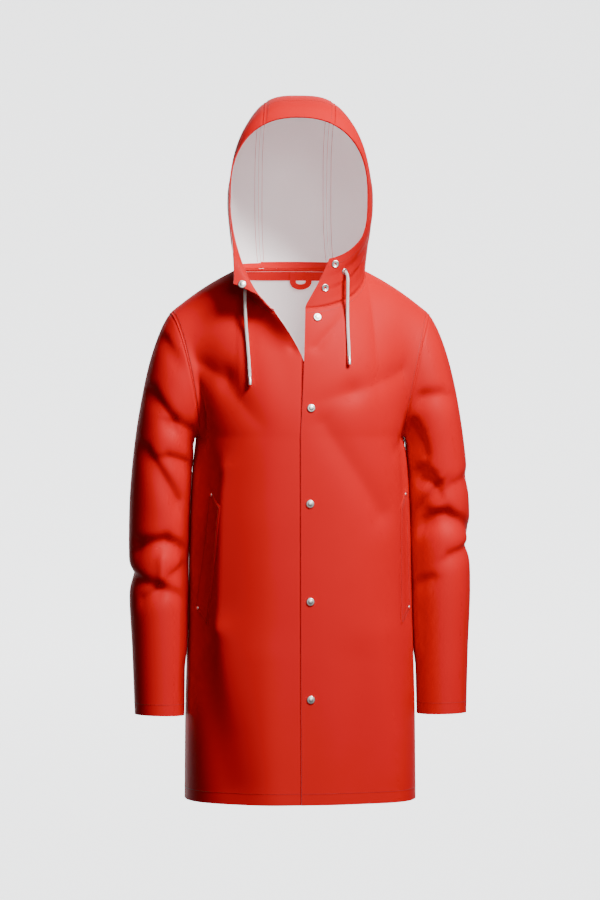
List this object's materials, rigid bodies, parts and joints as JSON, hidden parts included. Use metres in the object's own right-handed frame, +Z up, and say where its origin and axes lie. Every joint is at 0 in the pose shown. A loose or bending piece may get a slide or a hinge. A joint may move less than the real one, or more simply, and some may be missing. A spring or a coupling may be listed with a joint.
{
  "type": "hooded raincoat",
  "caption": "Hooded raincoat in coated cotton, filled out with no wearer: snap front open at the neck, slanted welt pockets, drawstring hood, hanging loop inside the neck.",
  "frame": {"origin": "midway between the shoulders at the base of the neck, where the wearer's shoulders carry the coat", "axes": "+Z up to the hood, -Y to the front of the coat, +X to the wearer's left"},
  "size_m": [0.5816, 0.3204, 1.1911],
  "materials": {
    "coated_cotton": "cotton coated with smooth matt red rubber outside, white cotton backing inside",
    "snap_metal": "nickel-plated, lightly brushed",
    "cotton_cord": "braided white cotton cord"
  },
  "bodies": {
    "root": {"front_left": "coated_cotton", "front_right": "coated_cotton", "back": "coated_cotton", "sleeve_left": "coated_cotton", "sleeve_right": "coated_cotton", "hood_left": "coated_cotton", "hood_centre": "coated_cotton", "hood_right": "coated_cotton", "hood_facing": "coated_cotton", "neck_tape": "coated_cotton", "hanging_loop": "coated_cotton", "pocket_welt_left": "coated_cotton", "pocket_welt_right": "coated_cotton", "pocket_rivet_left_top": "snap_metal", "pocket_rivet_left_low": "snap_metal", "pocket_rivet_right_top": "snap_metal", "pocket_rivet_right_low": "snap_metal", "snap_cap_neck": "snap_metal", "snap_cap_1": "snap_metal", "snap_cap_2": "snap_metal", "snap_cap_3": "snap_metal", "snap_cap_4": "snap_metal", "collar_socket_upper": "snap_metal", "collar_socket_lower": "snap_metal", "facing_snap": "snap_metal", "front_stud_upper": "snap_metal", "front_stud_lower": "snap_metal", "eyelet_left": "snap_metal", "eyelet_right": "snap_metal", "drawstring_tip_left": "snap_metal", "drawstring_tip_right": "snap_metal", "drawstring_left": "cotton_cord", "drawstring_right": "cotton_cord"}
  },
  "joints": []
}
